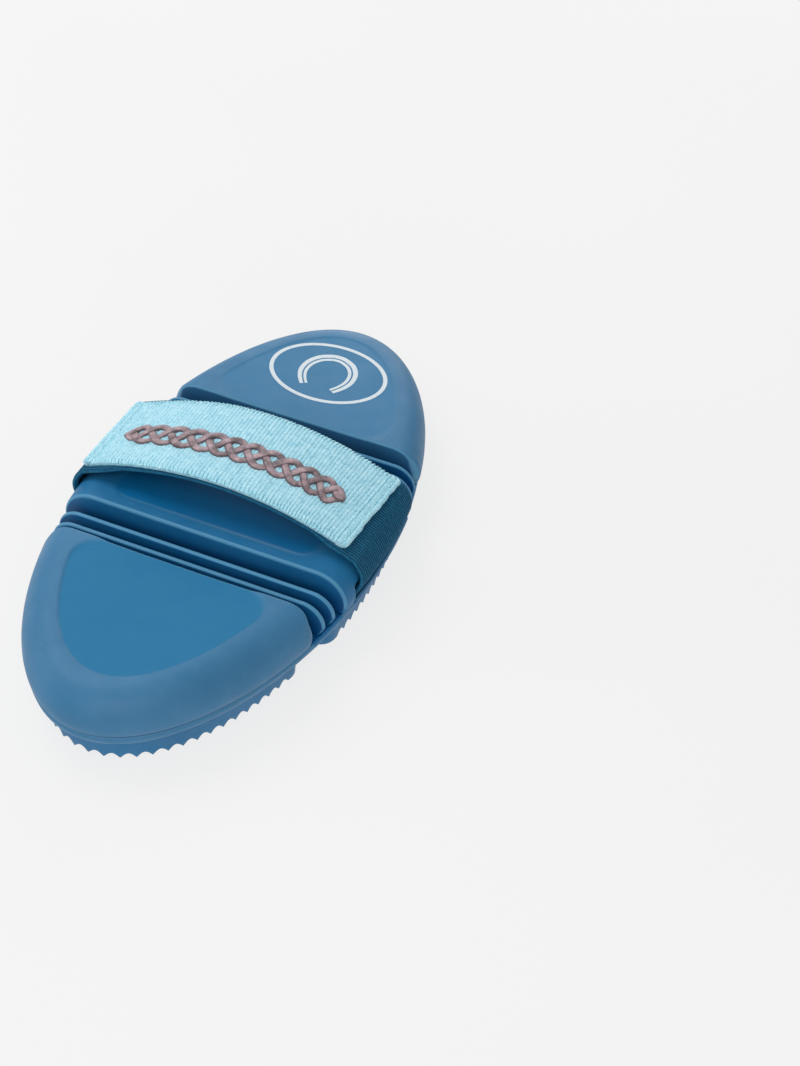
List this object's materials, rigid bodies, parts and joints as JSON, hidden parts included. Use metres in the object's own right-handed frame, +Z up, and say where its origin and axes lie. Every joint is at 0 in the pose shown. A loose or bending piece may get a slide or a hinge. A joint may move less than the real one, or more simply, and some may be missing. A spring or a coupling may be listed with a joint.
{
  "type": "curry comb",
  "caption": "Flexible oval rubber curry comb with a toothed underside, bellows that let both ends bend, and an elastic hand strap.",
  "frame": {"origin": "on the plane of the tooth tips, under the middle of the oval", "axes": "+X across the comb, +Y along it towards its rear end, +Z up through the hand strap"},
  "size_m": [0.0926, 0.185, 0.0378],
  "materials": {
    "rubber_body": "satin moulded",
    "rubber_teeth": "satin moulded",
    "elastic": "corded woven elastic",
    "webbing": "cross-ribbed woven",
    "thread": "satin stitch",
    "ink": "matt screen print"
  },
  "bodies": {
    "centre": {"centre_shell": "rubber_body", "centre_base": "rubber_body", "centre_ring_wall": "rubber_teeth", "centre_inner_wall": "rubber_teeth", "centre_cross_wall_left": "rubber_teeth", "centre_cross_wall_right": "rubber_teeth", "elastic_leg_left": "elastic", "elastic_leg_right": "elastic"},
    "front_rib_inner": {"front_rib_inner": "rubber_body"},
    "front_rib_outer": {"front_rib_outer": "rubber_body"},
    "front_end": {"front_shell": "rubber_body", "front_base": "rubber_body", "front_outer_wall": "rubber_teeth", "front_middle_wall": "rubber_teeth", "front_inner_wall": "rubber_teeth"},
    "rear_rib_inner": {"rear_rib_inner": "rubber_body"},
    "rear_rib_outer": {"rear_rib_outer": "rubber_body"},
    "rear_end": {"rear_shell": "rubber_body", "rear_base": "rubber_body", "rear_outer_wall": "rubber_teeth", "rear_middle_wall": "rubber_teeth", "rear_inner_wall": "rubber_teeth", "printed_badge": "ink"},
    "strap": {"elastic_band": "elastic", "webbing_cover": "webbing", "cover_hem_left": "webbing", "cover_hem_right": "webbing", "embroidery_thread": "thread"}
  },
  "joints": [
    {"name": "front_flex", "type": "hinge", "parent": "centre", "child": "front_rib_inner", "pos_m": [0, -0.0261, 0.0109], "axis": [1, 0, 0], "range_deg": [-10, 10], "stiffness_Nm_per_rad": 2.5},
    {"name": "front_flex_middle", "type": "hinge", "parent": "front_rib_inner", "child": "front_rib_outer", "pos_m": [0, -0.02983, 0.0109], "axis": [1, 0, 0], "range_deg": [-10, 10]},
    {"name": "front_flex_outer", "type": "hinge", "parent": "front_rib_outer", "child": "front_end", "pos_m": [0, -0.03356, 0.0109], "axis": [1, 0, 0], "range_deg": [-10, 10]},
    {"name": "rear_flex", "type": "hinge", "parent": "centre", "child": "rear_rib_inner", "pos_m": [0, 0.0261, 0.0109], "axis": [-1, 0, 0], "range_deg": [-10, 10], "stiffness_Nm_per_rad": 2.5},
    {"name": "rear_flex_middle", "type": "hinge", "parent": "rear_rib_inner", "child": "rear_rib_outer", "pos_m": [0, 0.02983, 0.0109], "axis": [-1, 0, 0], "range_deg": [-10, 10]},
    {"name": "rear_flex_outer", "type": "hinge", "parent": "rear_rib_outer", "child": "rear_end", "pos_m": [0, 0.03356, 0.0109], "axis": [-1, 0, 0], "range_deg": [-10, 10]},
    {"name": "strap_lift", "type": "slide", "parent": "centre", "child": "strap", "axis": [0, 0, 1], "range_m": [0, 0.016], "stiffness_N_per_m": 600, "deforming": ["elastic_leg_left", "elastic_leg_right"]}
  ],
  "couplings": [
    {"joint": "front_flex_middle", "follows": "front_flex", "ratio": 1},
    {"joint": "front_flex_outer", "follows": "front_flex", "ratio": 1},
    {"joint": "rear_flex_middle", "follows": "rear_flex", "ratio": 1},
    {"joint": "rear_flex_outer", "follows": "rear_flex", "ratio": 1}
  ]
}
